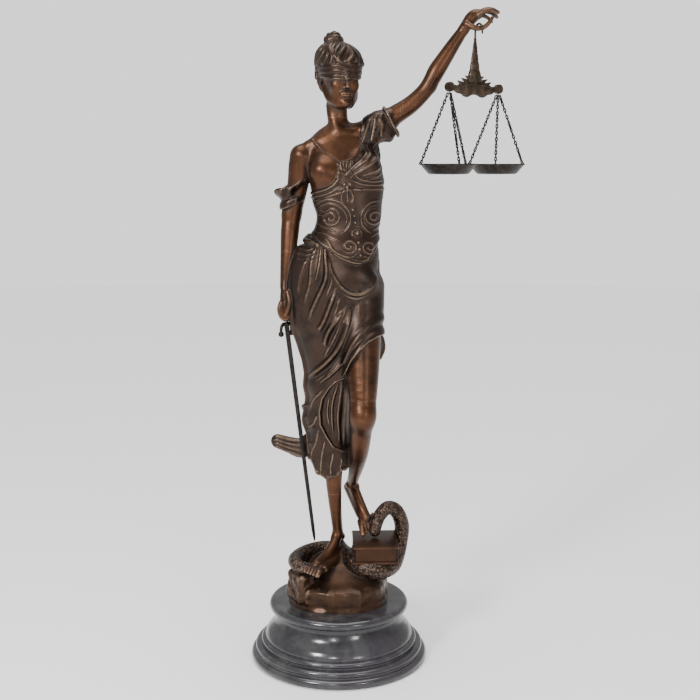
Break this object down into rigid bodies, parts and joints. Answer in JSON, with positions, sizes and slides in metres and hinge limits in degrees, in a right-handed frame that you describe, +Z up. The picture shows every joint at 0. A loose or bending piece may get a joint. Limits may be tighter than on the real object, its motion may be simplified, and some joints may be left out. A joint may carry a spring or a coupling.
{
  "type": "statue",
  "caption": "Standing blindfolded Lady Justice in patinated bronze on a turned marble plinth, with a sword and a hand-held pair of scales.",
  "frame": {"origin": "middle of the plinth's flat underside", "axes": "+Z up along the plinth's axis, the figure faces -Y, and its raised left arm points to +X"},
  "size_m": [0.4241, 0.279, 1.004],
  "materials": {
    "black_marble": "polished black marble with faint green and purple mottling",
    "brown_bronze": "brown patinated bronze, rubbed brighter on the raised places",
    "dark_bronze": "dark brown patinated bronze",
    "dark_iron": "dark grey metal, satin"
  },
  "bodies": {
    "root": {"marble_plinth": "black_marble", "figure": "brown_bronze", "sword": "dark_bronze", "scale_beam": "dark_bronze", "pan_left": "dark_iron", "pan_right": "dark_iron", "chain_left_1": "dark_iron", "chain_left_2": "dark_iron", "chain_left_3": "dark_iron", "chain_right_1": "dark_iron", "chain_right_2": "dark_iron", "chain_right_3": "dark_iron"}
  },
  "joints": []
}
